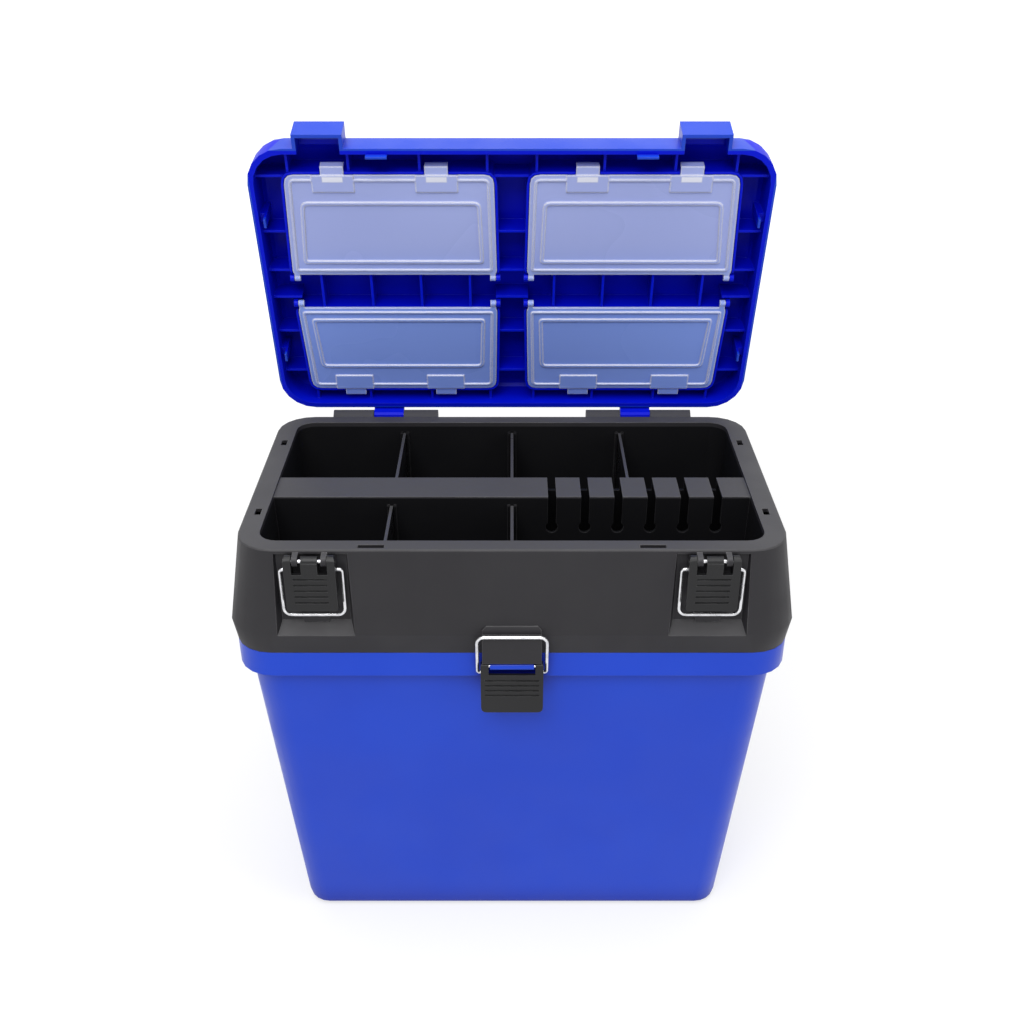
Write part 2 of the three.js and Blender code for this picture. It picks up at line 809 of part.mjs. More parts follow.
function trayHousing() {
  const foot = level(bandWidth, bandDepth, bandCorner, footZ);
  const waist = trayRing(waistZ);
  const rim = roundedEdge(trayRing(rimZ - rimEdge), rimEdge, 1);
  const underRim = inset(trayRing(rimZ - rimThickness), trayWall);
  const skin = loft([foot, waist, ...rim]);
  const cavity = loft([
    inset(foot, trayWall, footZ - overrun),
    inset(foot, trayWall),
    inset(waist, trayWall),
    underRim,
  ]);
  const recesses = union(recess(lidLatchX, 0), recess(-lidLatchX, 0));
  const backing = union(recess(lidLatchX, recessFloorWall), recess(-lidLatchX, recessFloorWall));
  const housing = skin.subtract(cavity.subtract(backing)).subtract(recesses);

  const wellOuter = loft([
    wellRing(wellFloorZ - wellFloor, wellWall),
    wellRing(rimZ - rimThickness / 2, wellWall),
  ]);
  const wellInner = loft([wellRing(wellFloorZ), wellRing(rimZ), wellRing(rimZ + overrun)]);
  const halfWell = wellWidth / 2 + wellWall / 4;
  const bar = box(-halfWell, halfWell, barFrontY, barBackY, wellFloorZ - wellFloor, barTopZ);
  const barHollow = box(
    -wellWidth / 2 + wellDraft, wellWidth / 2 - wellDraft,
    barFrontY + barWall, barBackY - barWall,
    wellFloorZ - wellFloor - overrun, barTopZ - barWall,
  );

  const rearWallY = rimDepth / 2 - trayWall / 2;
  const lidKnuckles = bothSides(fixedKnuckleSpans).map(([x0, x1]) => knuckle(
    x0, x1, lidHinge, rearWallY, lidHinge.z - knuckleRoot, lidHinge.z,
  ));
  const binKnuckles = bothSides([movingKnuckleSpan]).map(([x0, x1]) => hangingKnuckle(
    x0, x1, trayHinge, bandDepth / 2 - trayWall / 2,
    footZ + knuckleRadius / 2, footZ + knuckleRoot,
  ));
  const floorY = -rimDepth / 2 + recessSetback + recessFloorWall / 2;
  const ears = [-1, 1].flatMap((side) => latchEars(
    lidLatch, side * lidLatchX, lidLatchPin, floorY,
    lidLatchPin.z - knuckleRadius * 2, rimZ - rimThickness / 2,
  ));
  const bosses = [recessBoss(lidLatchX), recessBoss(-lidLatchX)];

  const rimSlots = [-1, 1].flatMap((side) => {
    const halfFront = frontTabWidth / 2 + tabClearance;
    const reach = tabThickness + 2 * tabClearance;
    const slotX = side * (rimWidth / 2 - tabSetback);
    const halfSide = sideTabLength / 2 + tabClearance;
    const lowZ = rimZ - rimThickness - overrun;
    const highZ = rimZ + overrun;
    return [
      box(side * frontTabX - halfFront, side * frontTabX + halfFront,
        frontTabY - reach / 2, frontTabY + reach / 2, lowZ, highZ),
      ...sideTabY.map((y) => box(
        slotX - reach / 2, slotX + reach / 2, y - halfSide, y + halfSide, lowZ, highZ)),
    ];
  });

  const guides = dividers.flatMap(dividerGuides);
  const tray = union(
    housing.add(wellOuter).subtract(wellInner),
    bar.subtract(barHollow).subtract(comb()),
    ...guides, ...lidKnuckles, ...binKnuckles, ...ears, ...bosses,
  );
  return tray
    .subtract(union(...rimSlots))
    .subtract(barHollow)
    .subtract(pinHole(-knuckleOuterX, knuckleOuterX, lidHinge, hingePinRadius))
    .subtract(pinHole(-knuckleOuterX, knuckleOuterX, trayHinge, hingePinRadius))
    .subtract(pinHole(-lidLatchX - lidLatch.leverWidth / 2, lidLatchX + lidLatch.leverWidth / 2,
      lidLatchPin, latchPinRadius));
}

// The catch for the band's bail: a block on the front of the housing that hangs over the
// band. Its ledge lies level with the waist, below a sloping top with hipped ends.
function bandCatch() {
  const half = bandCatchWidth / 2;
  const backY = -bandDepth / 2 - bandCatchStandOff;
  const stepZ = waistZ + bandCatchStep;
  const topZ = waistZ + bandCatchRise;
  const stepY = bandCatchFrontY + bandCatchLedge;
  const rearAt = (z) => -trayRing(z).depth / 2 - bandCatchSeat;
  const block = alongX(polygon([
    [backY, bandCatchBottomZ],
    [backY, footZ],
    [rearAt(waistZ), waistZ],
    [bandCatchFrontY + bandCatchFall, waistZ],
    [bandCatchFrontY, waistZ - bandCatchFall],
    [bandCatchFrontY, bandCatchBottomZ],
  ]), -half, half);
  const top = convex([-1, 1].flatMap((side) => [
    [side * half, stepY, waistZ],
    [side * half, rearAt(waistZ), waistZ],
    [side * half, stepY, stepZ],
    [side * half, rearAt(stepZ), stepZ],
    [side * (half - bandCatchHip), rearAt(topZ), topZ],
  ]));
  return block.add(top);
}

// The four compartments: side 1 right, -1 left; the way from the hinge edge to the clips.
const compartments = [
  { name: 'front_left', side: -1, hingeY: frontDoorHingeY, clipY: frontDoorFrontY },
  { name: 'front_right', side: 1, hingeY: frontDoorHingeY, clipY: frontDoorFrontY },
  { name: 'rear_left', side: -1, hingeY: rearDoorHingeY, clipY: rearDoorRearY },
  { name: 'rear_right', side: 1, hingeY: rearDoorHingeY, clipY: rearDoorRearY },
];

const doorWay = ({ hingeY, clipY }) => Math.sign(clipY - hingeY);

function doorAxis(spec) {
  return { y: spec.hingeY - doorWay(spec) * doorPinSetback, z: doorZ + doorPinRise };
}

// A door's outline, or the same drawn in from its four edges.
function doorOutline(spec, inner, outer, hinge, clip, corner) {
  const { side, hingeY, clipY } = spec;
  const way = doorWay(spec);
  const nearX = side * (doorInnerX + inner);
  const farX = side * (doorOuterX - outer);
  const tipX = side * (doorOuterX - doorTaper - outer);
  const nearTipX = side * (doorInnerX + doorTaper / 2 + inner);
  return roundedOutline([
    [nearX, hingeY + way * hinge, corner / 2],
    [farX, hingeY + way * hinge, corner / 2],
    [tipX, clipY - way * clip, corner],
    [nearTipX, clipY - way * clip, corner],
  ]);
}

function doorLugPlaces({ side }) {
  return [
    { x: side * (doorInnerX + doorLugInset), out: -side },
    { x: side * (doorOuterX - doorLugInset), out: side },
  ];
}

function lidDoor(spec) {
  const way = doorWay(spec);
  const axis = doorAxis(spec);
  const topZ = doorZ + doorThickness;
  const plate = alongZ(doorOutline(spec, 0, 0, 0, 0, doorCorner), doorZ, topZ);
  const lowZ = doorZ - doorBeadHeight;
  const ridge = (edge, clipEdge, width, corner) => {
    const inner = edge + width;
    const outside = doorOutline(spec, edge, edge, edge, clipEdge, corner);
    const inside = doorOutline(spec, inner, inner, inner, clipEdge + width, corner - width);
    return alongZ(outside, lowZ, doorZ + doorThickness / 2)
      .subtract(alongZ(inside, lowZ - overrun, topZ));
  };
  const lugs = doorLugPlaces(spec).flatMap(({ x, out }) => {
    const half = doorLugWidth / 2;
    const face = x + out * half;
    const pinEnd = face + out * (knuckleGap + doorEarWidth);
    return [
      rodX(doorLugRadius, x - half, x + half, axis.y, axis.z),
      spanBox([x - half, x + half], [axis.y, spec.hingeY + way * doorLugWidth], [doorZ, topZ]),
      rodX(doorPinRadius, Math.min(x, pinEnd), Math.max(x, pinEnd), axis.y, axis.z),
    ];
  });
  const clips = clipX.flatMap((x) => {
    const across = (width) => [spec.side * x - width / 2, spec.side * x + width / 2];
    const xs = across(clipWidth);
    const tipY = spec.clipY + way * clipReach;
    return [
      spanBox(across(clipBaseWidth), [spec.clipY - way * clipBaseDepth, spec.clipY],
        [lowZ, topZ]),
      spanBox(xs, [spec.clipY - way * clipThickness, tipY], [doorZ, topZ]),
      spanBox(xs, [tipY - way * clipThickness, tipY], [doorZ, doorZ + clipLength]),
    ];
  });
  return union(
    plate,
    ridge(doorRimInset, doorRimInset, doorRimWidth, doorCorner - doorRimInset),
    ridge(doorBeadInset, doorBeadFrontInset, doorBeadWidth, doorBeadCorner),
    ...lugs, ...clips,
  );
}

// The ears of one compartment that carry its door, with the holes for the door's pins.
function doorEars(spec) {
  const axis = doorAxis(spec);
  const way = doorWay(spec);
  return doorLugPlaces(spec).map(({ x, out }) => {
    const near = x + out * (doorLugWidth / 2 + knuckleGap);
    const far = near + out * doorEarWidth;
    const x0 = Math.min(near, far);
    const x1 = Math.max(near, far);
    const arm = box(x0, x1, axis.y - doorEarRadius, axis.y + doorEarRadius, axis.z, lidCeilingZ);
    const root = spanBox([x0, x1], [axis.y, spec.hingeY + way * compartmentWall / 2],
      [wallEndZ + compartmentWall, lidCeilingZ]);
    return union(arm, root, rodX(doorEarRadius, x0, x1, axis.y, axis.z))
      .subtract(rodX(doorPinRadius + pinClearance, x0 - overrun, x1 + overrun, axis.y, axis.z));
  });
}

// The walls of one compartment. They end above the door, apart from an outer frame that
// stands round three of its edges and lets the clips through.
function compartmentWalls(spec) {
  const way = doorWay(spec);
  const wall = compartmentWall;
  const gap = doorFrameGap;
  const out = gap + doorFrameWall;
  const outside = doorOutline(spec, -out, -out, 0, -out, doorCorner + out);
  const inside = doorOutline(spec, wall, wall, wall, wall, doorCorner - wall);
  const nest = doorOutline(spec, -gap, -gap, -overrun, -gap, doorCorner + gap);
  const passages = clipX.map((x) => spanBox(
    [spec.side * x - clipWidth / 2 - gap, spec.side * x + clipWidth / 2 + gap],
    [spec.clipY, spec.clipY + way * (out + overrun)],
    [doorZ - overrun, wallEndZ],
  ));
  return alongZ(outside, doorZ, lidCeilingZ + lidCeiling / 2)
    .subtract(alongZ(inside, doorZ - overrun, lidCeilingZ))
    .subtract(union(alongZ(nest, doorZ - overrun, wallEndZ), ...passages));
}

function lidRibs() {
  const half = ribThickness / 2;
  const besideClip = clipWidth / 2 + clipRibGap;
  const channelRibX = [
    doorInnerX + edgeRibInset, clipX[0] + besideClip,
    clipX[1] - besideClip, doorOuterX - edgeRibInset,
  ];
  const sideRibY = [...sideRibShares.map((share) => share * rimDepth / 2), ...hingeRibY];
  const ribs = [];
  const intoCeiling = lidCeilingZ + lidCeiling / 2;
  const across = (x, y0, y1) => ribs.push(box(x - half, x + half, y0, y1, wallEndZ, intoCeiling));
  const along = (y, x0, x1) => ribs.push(box(x0, x1, y - half, y + half, wallEndZ, intoCeiling));
  const wallY = rimDepth / 2 - lidWall / 2;
  const wallX = rimWidth / 2 - lidWall / 2;
  const bite = compartmentWall / 2;
  [-1, 1].forEach((side) => {
    channelRibX.forEach((x) => {
      across(side * x, -wallY, frontDoorFrontY + bite);
      across(side * x, rearDoorRearY - bite, wallY);
    });
    middleRibShares.forEach((share) => {
      across(side * acrossDoor(share), frontDoorHingeY - bite, rearDoorHingeY + bite);
    });
    const nearX = side * (doorOuterX - doorTaper - bite);
    sideRibY.forEach((y) => along(y, Math.min(nearX, side * wallX), Math.max(nearX, side * wallX)));
  });
  sideRibY.forEach((y) => along(y, -doorInnerX - bite, doorInnerX + bite));
  return ribs;
}

// One catch for a lid latch, with a ledge and a low lip for the bar.
function lidCatch(x) {
  const half = catchWidth / 2;
  const wallY = -rimDepth / 2 + lidWall / 2 + lidDraft;
  return alongX(polygon([
    [wallY, lidZ],
    [catchFrontY, lidZ],
    [catchFrontY, catchTopZ + catchLipRise],
    [catchFrontY + catchLip, catchTopZ + catchLipRise],
    [catchFrontY + catchLip, catchTopZ],
    [wallY, catchTopZ],
  ]), x - half, x + half);
}

// The hollow of the catch, open from below and through the front wall of the lid.
function catchHollow(x) {
  const half = catchWidth / 2 - catchWall;
  return box(x - half, x + half, catchFrontY + catchWall, -rimDepth / 2 + lidWall + overrun,
    lidZ - overrun, catchTopZ - catchWall);
}

function snapTabs() {
  const lowZ = rimZ - tabDrop;
  const rootZ = wallEndZ;
  const innerWallY = -rimDepth / 2 + lidWall / 2;
  return [-1, 1].flatMap((side) => {
    const half = frontTabWidth / 2;
    const x0 = side * frontTabX - half;
    const x1 = side * frontTabX + half;
    const tabX = side * (rimWidth / 2 - tabSetback);
    const inX = tabX - side * tabThickness / 2;
    const outX = tabX + side * tabThickness / 2;
    const wallX = side * (rimWidth / 2 - lidWall / 2);
    const sideTabs = sideTabY.flatMap((y) => {
      const ys = [y - sideTabLength / 2, y + sideTabLength / 2];
      return [
        spanBox([inX, outX], ys, [lowZ, rootZ]),
        spanBox([inX, wallX], ys, [rootZ - tabThickness, lidCeilingZ + lidCeiling / 2]),
      ];
    });
    return [
      box(x0, x1, frontTabY - tabThickness / 2, frontTabY + tabThickness / 2, lowZ, rootZ),
      box(x0, x1, innerWallY, frontTabY + tabThickness / 2, lidZ + tabThickness, rootZ),
      ...sideTabs,
    ];
  });
}

// The lid's form, or the same drawn in all round, from its foot to its rounded top edge.
function lidForm(amount, lowZ, topZ) {
  const radius = lidEdge - amount;
  const foot = inset(level(rimWidth, rimDepth, rimCorner, lidZ), amount, lowZ);
  return loft([foot, ...roundedEdge(inset(foot, lidDraft, topZ - radius), radius, 1)]);
}

function lid() {
  const shell = lidForm(0, lidZ, lidTopZ).subtract(lidForm(lidWall, lidZ - overrun, lidCeilingZ));
  const inside = union(...compartments.map(compartmentWalls), ...lidRibs())
    .intersect(lidForm(lidWall / 2, lidZ, lidTopZ - lidCeiling / 2));
  const rearWallY = rimDepth / 2 - lidWall / 2;
  const knuckles = bothSides([movingKnuckleSpan]).map(([x0, x1]) => hangingKnuckle(
    x0, x1, lidHinge, rearWallY, lidZ + knuckleRadius / 2, lidZ + knuckleRoot,
  ));
  return union(
    shell,
    inside,
    ...compartments.flatMap(doorEars),
    ...snapTabs(),
    lidCatch(lidLatchX),
    lidCatch(-lidLatchX),
    ...knuckles,
  ).subtract(union(
    catchHollow(lidLatchX),
    catchHollow(-lidLatchX),
    pinHole(-knuckleOuterX, knuckleOuterX, lidHinge, hingePinRadius),
  ));
}

// A flat foam pad with a low crown and sides that draw in towards its foot.
function seatPad() {
  const flat = inset(level(rimWidth, rimDepth, rimCorner, lidTopZ + seatGap), lidDraft + lidEdge);
  const edge = inset(flat, padMargin);
  const at = (amount, rise) => inset(edge, amount, edge.z + rise);
  return loft([
    at(padEdge / 2, 0),
    at(0, padThickness / 3),
    at(0, padThickness - padCrown - padEdge),
    at(padEdge / 3, padThickness - padCrown - padEdge / 3),
    at(padEdge, padThickness - padCrown),
    at(padShoulder, padThickness - padCrown / 3),
    at(padFlatMargin, padThickness),
  ]);
}

// A latch lever hanging from its pin at the origin, with its grip to the front.
function latchLever(spec) {
  const half = spec.leverWidth / 2;
  const low = -spec.leverDrop;
  const cheekShape = new THREE.Shape();
  cheekShape.moveTo(-spec.head, low);
  cheekShape.lineTo(-spec.head + spec.flange, low);
  cheekShape.lineTo(-spec.head + spec.flange, -spec.pivotDrop - leverTaperEnd);
  cheekShape.lineTo(spec.head, -spec.pivotDrop - leverTaperStart);
  cheekShape.absarc(0, 0, spec.head, 0, Math.PI, false);
  cheekShape.closePath();
  const pieces = [
    alongX(cheekShape, -half, -half + spec.cheek),
    alongX(cheekShape, half - spec.cheek, half),
    box(-half, half, -spec.head, -spec.head + spec.plate, low, -spec.windowDrop),
  ];
  if (spec.webWidth > 0) {
    const web = spec.webWidth / 2;
    pieces.push(box(-web, web, -spec.head, -spec.head + spec.plate, -spec.windowDrop - overrun, 0));
    pieces.push(rodX(spec.earRadius, -web, web, 0, 0));
  }
  const cuts = [rodX(latchPinRadius + pinClearance, -half - overrun, half + overrun, 0, 0)];
  const blindX = half - bailEndInset - pinClearance;
  [[blindX, half + overrun], [-half - overrun, -blindX]].forEach(([x0, x1]) => {
    cuts.push(rodX(wireRadius + pinClearance, x0, x1, spec.pivotBack, -spec.pivotDrop));
  });
  for (let i = 0; i < spec.grooveCount; i += 1) {
    const topZ = -spec.grooveStart - i * spec.groovePitch;
    cuts.push(box(-spec.grooveWidth / 2, spec.grooveWidth / 2,
      -spec.head - overrun, -spec.head + grooveDepth, topZ - spec.grooveHeight, topZ));
  }
  const outline = roundedOutline([
    [-half, low, spec.corner],
    [half, low, spec.corner],
    [half, spec.head, spec.cheek / 2],
    [-half, spec.head, spec.cheek / 2],
  ]);
  return union(...pieces)
    .intersect(alongY(outline, -spec.head - overrun, spec.head + overrun))
    .subtract(union(...cuts));
}

// A wire bail hanging from its two ends, which turn in the lever's cheeks.
function latchBail(spec, reach) {
  const half = spec.bailWidth / 2;
  const right = [new THREE.Vector3(spec.leverWidth / 2 - bailEndInset, 0, 0)];
  const bend = (x, z, radius, from) => {
    for (let step = 0; step <= bailSteps; step += 1) {
      const angle = from - step / bailSteps * Math.PI / 2;
      right.push(new THREE.Vector3(x + radius * Math.cos(angle), 0, z + radius * Math.sin(angle)));
    }
  };
  bend(half - bailShoulder, -bailShoulder, bailShoulder, Math.PI / 2);
  bend(half - bailCorner, -reach + bailCorner, bailCorner, 0);
  const left = right.map((point) => new THREE.Vector3(-point.x, 0, point.z)).reverse();
  return wire([...right, ...left], wireRadius);
}

// A straight pin along X with its ends chamfered.
function pin(radius, x0, x1, y, z) {
  const length = x1 - x0;
  const chamfer = radius / 4;
  const profile = [
    [0, 0], [radius - chamfer, 0], [radius, chamfer],
    [radius, length - chamfer], [radius - chamfer, length], [0, length],
  ].map(([r, along]) => new THREE.Vector2(r, along));
  const geometry = new THREE.LatheGeometry(profile, holeSides);
  geometry.rotateZ(-Math.PI / 2);
  geometry.translate(x0, y, z);
  return solid(geometry);
}

// A divider plate that follows the draft of the well, with its top corners rounded.
function divider({ x, back }) {
  const wallSide = back ? 1 : -1;
  const lowZ = wellFloorZ + seatGap;
  const topZ = wellFloorZ + dividerHeight;
  const wallAt = (z) => wallSide * (wellDepth / 2 - wellDraft * (rimZ - z) / wellHeight - dividerGap);
  const barY = (back ? barBackY : barFrontY) + wallSide * dividerGap;
  const corner = dividerThickness;
  const shape = roundedOutline([
    [barY, lowZ, corner / 2],
    [wallAt(lowZ), lowZ, corner / 2],
    [wallAt(topZ), topZ, corner],
    [barY, topZ, corner],
  ]);
  return alongX(shape, x - dividerThickness / 2, x + dividerThickness / 2);
}

// Materials
const plastic = (color, roughness) => new THREE.MeshStandardMaterial({ color, roughness });
const blue = plastic(0x1c34cc, 0.42);
const black = plastic(0x303033, 0.5);
const leverBlack = plastic(0x1d1d1f, 0.45);
const foam = plastic(0x232325, 0.9);
const clear = new THREE.MeshStandardMaterial({
  color: 0xdfe6f5,
  roughness: 0.25,
  transparent: true,
  opacity: 0.45,
});
const steel = new THREE.MeshStandardMaterial({ color: 0xc9ccd2, roughness: 0.25, metalness: 1 });

function piece(name, body, material) {
  const mesh = new THREE.Mesh(geometryOf(body), material);
  mesh.name = name;
  return mesh;
}

const seatBox = new THREE.Group();
seatBox.add(piece('bin', bin(), blue));
seatBox.add(piece('tray_housing', trayHousing(), black));
seatBox.add(piece('band_catch', bandCatch(), black));
dividers.forEach((spec) => seatBox.add(piece(spec.name, divider(spec), black)));

// Pins of both hinges and of the latches
[['left', -1], ['right', 1]].forEach(([word, side]) => {
  const ends = [side * (knuckleInnerX + knuckleGap), side * (knuckleOuterX - knuckleGap)];
  const x0 = Math.min(...ends);
  const x1 = Math.max(...ends);
  seatBox.add(piece(`lid_hinge_pin_${word}`, pin(hingePinRadius, x0, x1, lidHinge.y, lidHinge.z), steel));
  seatBox.add(piece(`tray_hinge_pin_${word}`,
    pin(hingePinRadius, x0, x1, trayHinge.y, trayHinge.z), steel));
});

// A latch: its pin stays in the ears, and its bail turns in the lever.
function addLatch(word, spec, x, axis, reach, bailAngle) {
  const half = spec.leverWidth / 2 - knuckleGap;
  seatBox.add(piece(`latch_pin_${word}`, pin(latchPinRadius, x - half, x + half, axis.y, axis.z), steel));
  const leverGroup = new THREE.Group();
  leverGroup.position.set(x, axis.y, axis.z);
  leverGroup.add(piece(`latch_lever_${word}`, latchLever(spec), leverBlack));
  const bailGroup = new THREE.Group();
  bailGroup.position.set(0, spec.pivotBack, -spec.pivotDrop);
  bailGroup.rotation.x = bailAngle;
  bailGroup.add(piece(`latch_bail_${word}`, latchBail(spec, reach), steel));
  leverGroup.add(bailGroup);
  seatBox.add(leverGroup);
}

addLatch('left', lidLatch, -lidLatchX, lidLatchPin, lidBailReach, 0);
addLatch('right', lidLatch, lidLatchX, lidLatchPin, lidBailReach, 0);
addLatch('centre', bandLatch, 0, bandLatchPin, bandBailReach, bandBailLean - Math.PI);

// The lid with all that it carries, turned open about its hinge
const lidTurn = new THREE.Group();
lidTurn.position.set(0, lidHinge.y, lidHinge.z);
lidTurn.rotation.x = -lidOpenAngle * Math.PI / 180;
const lidFrame = new THREE.Group();
lidFrame.position.set(0, -lidHinge.y, -lidHinge.z);
lidFrame.add(piece('lid', lid(), blue));
lidFrame.add(piece('seat_pad', seatPad(), foam));
compartments.forEach((spec) => lidFrame.add(piece(`lid_door_${spec.name}`, lidDoor(spec), clear)));
lidTurn.add(lidFrame);
seatBox.add(lidTurn);

export default seatBox;
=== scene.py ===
"""Looks of a fishing seat box, dressed over its CAD frame, on a white studio floor.

Everything is in metres, in the frame's own axes: +Z up, the latches towards -Y.
"""

import json
import math

import bmesh
import bpy
from mathutils import Matrix, Vector


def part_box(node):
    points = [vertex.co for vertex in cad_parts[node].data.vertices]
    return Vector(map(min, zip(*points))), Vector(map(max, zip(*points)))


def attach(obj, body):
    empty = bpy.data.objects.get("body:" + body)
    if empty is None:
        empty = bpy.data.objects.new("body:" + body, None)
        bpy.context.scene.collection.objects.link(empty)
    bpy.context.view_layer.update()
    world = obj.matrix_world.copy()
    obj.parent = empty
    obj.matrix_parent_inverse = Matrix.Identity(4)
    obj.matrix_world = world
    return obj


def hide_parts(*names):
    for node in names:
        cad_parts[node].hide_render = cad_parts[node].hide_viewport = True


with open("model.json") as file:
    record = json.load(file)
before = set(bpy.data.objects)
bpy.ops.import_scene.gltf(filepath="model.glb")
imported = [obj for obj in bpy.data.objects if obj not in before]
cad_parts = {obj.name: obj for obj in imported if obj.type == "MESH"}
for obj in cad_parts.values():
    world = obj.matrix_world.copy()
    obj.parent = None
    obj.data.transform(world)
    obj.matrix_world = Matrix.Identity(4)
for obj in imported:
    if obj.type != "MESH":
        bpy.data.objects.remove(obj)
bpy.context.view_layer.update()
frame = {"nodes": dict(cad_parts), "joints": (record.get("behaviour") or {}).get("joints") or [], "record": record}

MM = 0.001

# Camera: square to the front of the box and above it, as the photograph's open view has it
CAMERA_PLACE = (0, -0.7897, 0.7484)
CAMERA_TILT = math.radians(31.70)
LENS = 42.8
LENS_SHIFT_UP = 0.08
SENSOR = 36

# Studio
FLOOR_SIZE = 24
FLOOR_LIFT = 0.0002
FLOOR_COLOUR = (0.45, 0.45, 0.45, 1)
FLOOR_GLOW = 0.28
FLOOR_SEEN = 0.60
FLOOR_WHITE_FROM = 0.7
FLOOR_WHITE_AT = 1.8
WORLD_STRENGTH = 0.36

# Lamps: place, size, watts and the point that each one faces
LAMPS = {
    "key": ((-0.4, -1.8, 2.3), (1.5, 1.1), 38, (0, 0, 0.30)),
    "top": ((0, -0.25, 2.3), (1.8, 1.4), 24, (0, 0, 0.35)),
    "fill": ((1.9, -0.9, 1.2), (1.2, 1.6), 7, (0, 0, 0.25)),
    "back": ((0.2, 1.9, 1.6), (1.6, 1.2), 1.5, (0, 0, 0.30)),
}

# Colours, linear
BLUE = (0.006, 0.059, 0.620, 1)
BLUE_DEEP = (0.0055, 0.053, 0.585, 1)
# Painted shade: the blue deep in recesses
BLUE_PAINTED_HOLLOW_SHADE = (0.001, 0.008, 0.280, 1)
# Paler edge colour, partly scuffing and partly a painted highlight
BLUE_EDGE_WEAR_AND_HIGHLIGHT = (0.080, 0.150, 0.750, 1)
# Painted shade: the lid's inside blue, deeper in its recesses, as seen in deep shade; its edge colour there is
# partly scuffing and partly a painted highlight
BLUE_PAINTED_INSIDE_SHADE = (0.001, 0.009, 0.680, 1)
BLUE_PAINTED_INSIDE_HOLLOW_SHADE = (0.0003, 0.0025, 0.450, 1)
BLUE_SHADED_EDGE_WEAR_AND_HIGHLIGHT = (0.040, 0.060, 0.760, 1)
GREY = (0.021, 0.020, 0.023, 1)
GREY_DEEP = (0.017, 0.016, 0.019, 1)
# Painted light: the grey made lighter on upward faces
GREY_PAINTED_TOP_LIGHT = (0.058, 0.057, 0.061, 1)
# Paler edge colour, partly scuffing and partly a painted highlight
GREY_EDGE_WEAR_AND_HIGHLIGHT = (0.170, 0.168, 0.174, 1)
# Painted shade: the black of the tray's well and its dividers, which are the grey plastic
BLACK_PAINTED_WELL_SHADE = (0.006, 0.006, 0.007, 1)
BLACK_PAINTED_WELL_SHADE_DEEP = (0.004, 0.004, 0.005, 1)
LATCH = (0.0115, 0.0115, 0.0125, 1)
LATCH_DEEP = (0.009, 0.009, 0.010, 1)
FOAM = (0.019, 0.019, 0.020, 1)
FOAM_PALE = (0.032, 0.032, 0.034, 1)
CLEAR = (0.48, 0.56, 1.00, 1)
# Painted shade: the darker blue film of the rear doors
CLEAR_PAINTED_SHADE_REAR = (0.28, 0.42, 1.00, 1)
# Whiter film at edges and clip pads: partly thicker film, partly a painted highlight
CLEAR_EDGE = (0.86, 0.88, 1.00, 1)
STEEL = (0.72, 0.72, 0.74, 1)
STEEL_DULL = (0.52, 0.52, 0.54, 1)
WHITE = (1, 1, 1, 1)
SHEEN = 0.30
# Less sheen where the inside is painted in shade
SHEEN_IN_PAINTED_SHADE = 0.09

# Shading of edges, and the painted shade in hollows
EDGE_SAMPLES = 6
HOLLOW_SAMPLES = 8
HOLLOW_REACH = 40 * MM
SMOOTH_LIMIT = math.radians(28)
WELD_DISTANCE = 0.01 * MM

# Moulded plastic: the scale of each pattern, as spots in a metre, and the depth of its grain
TONE_PER_METRE = 9
FLOW_PER_METRE = 34
FLOW_STRETCH = 0.06
SCUFFS_PER_METRE = 60
POLISH_PER_METRE = 26
GRAIN_DEPTH = 0.12 * MM
COARSE_GRAIN_PER_METRE = 520
GRAIN_PER_METRE = 650
FINE_GRAIN_PER_METRE = 900
SHARP_EDGE = 0.4 * MM
SHELL_EDGE = 0.5 * MM
HOUSING_EDGE = 0.8 * MM

# Clear film
FILM_EDGE = 1.7 * MM
FILM_MILK_PER_METRE = 7
FILM_MILK_LEAST = 0.70
FILM_MILK_MOST = 0.82
# More opaque at edges and clip pads, with the painted highlight there
FILM_EDGE_AND_PAD_COVER = 0.92
FILM_GLOSS_PER_METRE = 14
FILM_GRAIN_PER_METRE = 420
FILM_GRAIN_DEPTH = 0.08 * MM

# Steel wire
WIRE_EDGE = 0.4 * MM
PATCHES_PER_METRE = 180
SCRATCHES_PER_METRE = 2600
SCRATCH_STRETCH = 0.1
SCRATCH_DEPTH = 0.03 * MM

# Foam
DUST_PER_METRE = 22
CELLS_PER_METRE = 900
CELL_DEPTH = 0.25 * MM

# The underside of the lid, in its closed place, where its blue is painted in shade; higher up its walls round in
LID_HALF_X = 180.1 * MM
LID_HALF_Y = 106.1 * MM
LID_TOP_HALF_X = 176.7 * MM
LID_TOP_HALF_Y = 102.7 * MM
LID_FOOT_Z = 360.2 * MM
LID_ROUND_Z = 378.5 * MM
LID_CEILING_Z = 384.2 * MM
LID_BLEND = 0.15 * MM
# The hinge knuckles share the painted shade of the lid's inside
LID_KNUCKLE_SHADE_BOX = ((-150 * MM, 107.9 * MM, 350 * MM), (150 * MM, 120 * MM, 366 * MM))
CLIP_PADS_X = (51.98 * MM, 123.5 * MM)
CLIP_PAD_HALF_X = 7.2 * MM
CLIP_PAD_LOW_Y = -85.6 * MM
CLIP_PAD_HIGH_Y = -81.6 * MM
CLIP_PAD_BLEND = 0.5 * MM
# Across these depths the film turns from its front colour to the painted shade of the rear doors
FILM_FRONT_Y = -40 * MM
FILM_REAR_Y = 30 * MM

# The well in the tray, where the grey is painted black as shade
WELL_HALF_X = 168.5 * MM
WELL_HALF_Y = 96.4 * MM
WELL_BELOW_DIVIDERS = 2 * MM
WELL_OVER_DIVIDERS = 4.6 * MM
WELL_BLEND = 0.6 * MM

